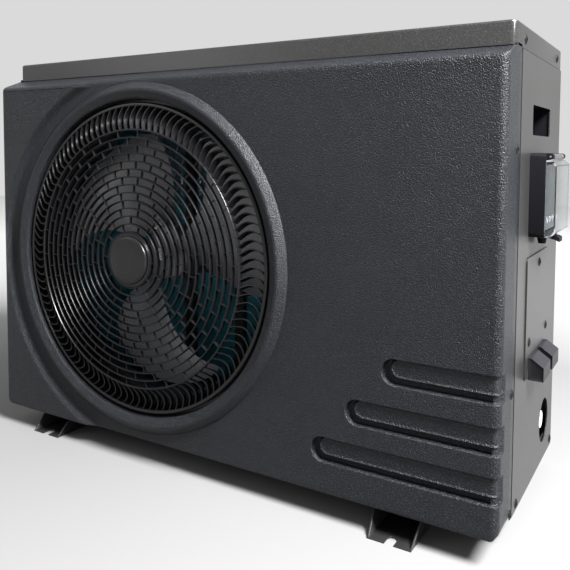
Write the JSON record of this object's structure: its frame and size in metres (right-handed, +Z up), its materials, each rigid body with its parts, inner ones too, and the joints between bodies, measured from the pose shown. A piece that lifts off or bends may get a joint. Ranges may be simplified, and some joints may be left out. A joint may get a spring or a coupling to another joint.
{
  "type": "heat pump unit",
  "caption": "Floor-standing pool heat pump: black cabinet with a round fan grille, finned coil, compressor, water unions, carry handle and a lidded controller on its side.",
  "frame": {"origin": "middle of the footprint, on the ground under the feet", "axes": "+X to the unit's right as seen from its front, +Y to its back, +Z up"},
  "size_m": [0.923, 0.3746, 0.661],
  "materials": {
    "shell_plastic": "satin black moulded plastic with a fine pebble grain",
    "cabinet_paint": "satin charcoal powder coat",
    "grille_plastic": "satin black moulded plastic",
    "foot_paint": "black paint",
    "fan_plastic": "satin dark grey moulded plastic",
    "blue_fins": "aluminium fins with a blue hydrophilic coat",
    "zinc_steel": "zinc-coated sheet steel",
    "motor_black": "black paint",
    "copper": "drawn copper",
    "brass": "cast brass",
    "compressor_paint": "semi-gloss black paint",
    "rubber": "matt rubber",
    "tank_plastic": "grey moulded plastic",
    "white_plastic": "white moulded plastic",
    "fitting_plastic": "black moulded plastic",
    "circuit_board": "green circuit board",
    "display_face": "glossy dark face",
    "button_plastic": "grey keys",
    "clear_plastic": "clear moulded plastic"
  },
  "bodies": {
    "cabinet": {"access_cover": "cabinet_paint", "accumulator": "compressor_paint", "base_pan": "cabinet_paint", "cable_gland": "fitting_plastic", "cable_hood_front": "fitting_plastic", "cable_hood_rear": "fitting_plastic", "carry_handle": "fitting_plastic", "coil_gas_pipe": "copper", "coil_liquid_pipe": "copper", "coil_tube_plate": "zinc_steel", "compressor": "compressor_paint", "compressor_grommet_1": "rubber", "compressor_grommet_2": "rubber", "compressor_grommet_3": "rubber", "control_board": "circuit_board", "control_box": "zinc_steel", "controller_base": "fitting_plastic", "discharge_pipe": "copper", "display_controller": "display_face", "evaporator_coil": "blue_fins", "expansion_valve": "brass", "fan_grille": "grille_plastic", "fan_motor": "motor_black", "fan_shroud": "grille_plastic", "flow_switch": "fitting_plastic", "four_way_valve": "brass", "front_panel": "shell_plastic", "grille_cap": "grille_plastic", "heat_exchanger": "tank_plastic", "left_coil_guard": "foot_paint", "left_foot": "foot_paint", "lid_hinge_pin": "zinc_steel", "motor_bracket": "zinc_steel", "partition_plate": "zinc_steel", "power_reactor": "motor_black", "rear_coil_guard": "foot_paint", "rear_left_post": "cabinet_paint", "rear_panel": "cabinet_paint", "right_foot": "foot_paint", "right_side_panel": "cabinet_paint", "suction_pipe": "copper", "tank_drain_plug": "fitting_plastic", "tank_gas_pipe": "copper", "tank_liquid_pipe": "copper", "terminal_block": "fitting_plastic", "terminal_bracket": "zinc_steel", "top_cover": "cabinet_paint", "water_inlet_union": "white_plastic", "water_outlet_union": "white_plastic"},
    "fan": {"fan_rotor": "fan_plastic", "fan_nut": "zinc_steel", "motor_shaft": "zinc_steel"},
    "lid": {"controller_lid": "clear_plastic"},
    "latch": {"lid_latch": "fitting_plastic"},
    "inlet_nut": {"inlet_union_nut": "fitting_plastic"},
    "outlet_nut": {"outlet_union_nut": "fitting_plastic"},
    "button_1": {"controller_button_1": "button_plastic"},
    "button_2": {"controller_button_2": "button_plastic"},
    "button_3": {"controller_button_3": "button_plastic"},
    "button_4": {"controller_button_4": "button_plastic"}
  },
  "joints": [
    {"name": "fan_spin", "type": "hinge", "parent": "cabinet", "child": "fan", "pos_m": [-0.1435, -0.09975, 0.331], "axis": [0, 1, 0], "continuous": true},
    {"name": "lid_hinge", "type": "hinge", "parent": "cabinet", "child": "lid", "pos_m": [0.453, 0.01225, 0.498], "axis": [0, -1, 0], "range_deg": [0, 110]},
    {"name": "latch_pivot", "type": "hinge", "parent": "cabinet", "child": "latch", "pos_m": [0.4505, 0.01225, 0.3885], "axis": [0, 1, 0], "range_deg": [0, 35], "stiffness_Nm_per_rad": 0.02, "springref_deg": -11.46},
    {"name": "inlet_nut_turn", "type": "hinge", "parent": "cabinet", "child": "inlet_nut", "pos_m": [0.401, 0.11025, 0.097], "axis": [1, 0, 0], "continuous": true},
    {"name": "outlet_nut_turn", "type": "hinge", "parent": "cabinet", "child": "outlet_nut", "pos_m": [0.3385, 0.15275, 0.437], "axis": [0, 1, 0], "continuous": true},
    {"name": "button_1_press", "type": "slide", "parent": "cabinet", "child": "button_1", "axis": [-1, 0, 0], "range_m": [0, 0.001], "stiffness_N_per_m": 300},
    {"name": "button_2_press", "type": "slide", "parent": "cabinet", "child": "button_2", "axis": [-1, 0, 0], "range_m": [0, 0.001], "stiffness_N_per_m": 300},
    {"name": "button_3_press", "type": "slide", "parent": "cabinet", "child": "button_3", "axis": [-1, 0, 0], "range_m": [0, 0.001], "stiffness_N_per_m": 300},
    {"name": "button_4_press", "type": "slide", "parent": "cabinet", "child": "button_4", "axis": [-1, 0, 0], "range_m": [0, 0.001], "stiffness_N_per_m": 300}
  ]
}
